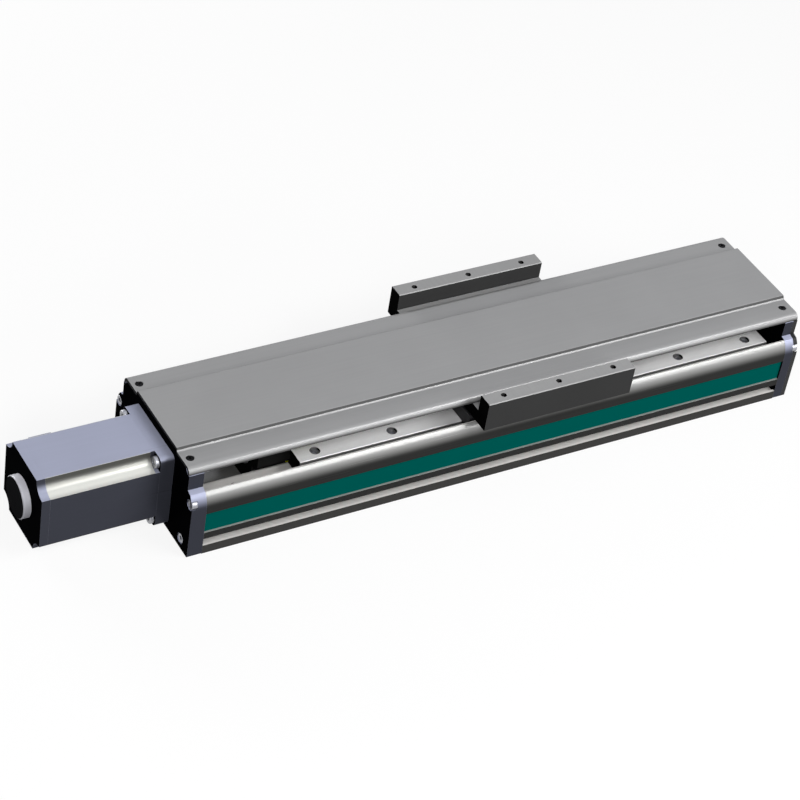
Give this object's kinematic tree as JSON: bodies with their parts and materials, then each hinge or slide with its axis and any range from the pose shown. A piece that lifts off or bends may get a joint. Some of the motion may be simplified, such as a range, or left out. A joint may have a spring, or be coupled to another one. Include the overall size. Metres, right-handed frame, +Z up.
{
  "type": "ball screw linear actuator",
  "caption": "Covered ball screw linear module: a carriage with two tapped ears on twin rails, driven by an end mounted square servo motor.",
  "frame": {"origin": "centre of the base extrusion's bottom face", "axes": "+X along the travel, away from the motor; +Y towards the side with the motor's plug; +Z up through the cover"},
  "size_m": [0.594, 0.139, 0.079],
  "materials": {
    "extrusion_aluminium": "clear anodised, drawn",
    "teal_strip": "smooth",
    "end_plate_aluminium": "milled, anodised",
    "black_cap": "fine grain",
    "black_screws": "black oxide",
    "steel_screws": "zinc plated",
    "rail_steel": "ground",
    "black_block": "black anodised",
    "bearing_steel": "ground",
    "yellow_buffer": "smooth polyurethane",
    "black_steel": "black oxide",
    "motor_grey": "satin",
    "encoder_aluminium": "turned",
    "plug_plastic": "moulded",
    "motor_core": "varnished",
    "shaft_steel": "ground",
    "coupling_aluminium": "turned",
    "coupling_rubber": "moulded polyurethane",
    "ball_screw_steel": "ground, pinkish red",
    "bracket_aluminium": "milled",
    "carriage_aluminium": "milled, clear anodised",
    "block_steel": "ground",
    "end_cap_plastic": "moulded",
    "cover_aluminium": "drawn, clear anodised"
  },
  "bodies": {
    "base": {"base_extrusion": "extrusion_aluminium", "side_strip_front": "teal_strip", "side_strip_rear": "teal_strip", "motor_end_plate": "end_plate_aluminium", "far_end_plate": "end_plate_aluminium", "far_end_cap": "black_cap", "end_plate_screws": "steel_screws", "rail_front": "rail_steel", "rail_rear": "rail_steel", "rail_screws": "steel_screws", "bearing_block_screws": "steel_screws", "fixed_bearing_block": "black_block", "fixed_bearing_outer_rings": "bearing_steel", "fixed_bearing_balls": "bearing_steel", "bearing_retaining_ring": "bearing_steel", "far_bearing_block": "black_block", "far_bearing_outer_ring": "bearing_steel", "far_bearing_balls": "bearing_steel", "fixed_buffer": "yellow_buffer", "far_buffer": "yellow_buffer", "far_buffer_washer": "black_steel", "buffer_screws": "black_screws", "motor_flange": "motor_grey", "motor_housing": "motor_grey", "motor_rear_cover": "motor_grey", "motor_encoder_cap": "encoder_aluminium", "motor_plug": "plug_plastic", "motor_screws": "steel_screws", "motor_stator": "motor_core", "motor_front_bearing": "bearing_steel", "motor_rear_bearing": "bearing_steel"},
    "screw": {"ball_screw": "ball_screw_steel", "fixed_bearing_inner_rings": "bearing_steel", "bearing_lock_nut": "bearing_steel", "far_bearing_inner_ring": "bearing_steel", "far_bearing_circlip": "bearing_steel", "coupling_motor_hub": "coupling_aluminium", "coupling_spider": "coupling_rubber", "coupling_screw_hub": "coupling_aluminium", "coupling_screws": "steel_screws", "motor_shaft": "shaft_steel", "motor_rotor": "motor_core"},
    "carriage": {"carriage_plate": "carriage_aluminium", "carriage_screws": "black_screws", "slider_block_front_left": "block_steel", "slider_block_front_right": "block_steel", "slider_block_rear_left": "block_steel", "slider_block_rear_right": "block_steel", "slider_end_caps": "end_cap_plastic", "nut_bracket": "bracket_aluminium", "nut_bracket_screws": "black_screws", "ball_nut": "black_steel", "nut_screws": "black_screws"},
    "cover": {"cover": "cover_aluminium", "cover_screws": "black_screws"}
  },
  "joints": [
    {"name": "carriage_slide", "type": "slide", "parent": "base", "child": "carriage", "axis": [1, 0, 0], "range_m": [-0.095, 0.105]},
    {"name": "screw_spin", "type": "hinge", "parent": "base", "child": "screw", "pos_m": [0, 0, 0.035], "axis": [1, 0, 0], "range_deg": [-3790, 3430]},
    {"name": "cover_lift", "type": "slide", "parent": "base", "child": "cover", "axis": [0, 0, 1], "range_m": [0, 0.15]}
  ],
  "couplings": [
    {"joint": "screw_spin", "follows": "carriage_slide", "rad_per_m": -628.32}
  ]
}
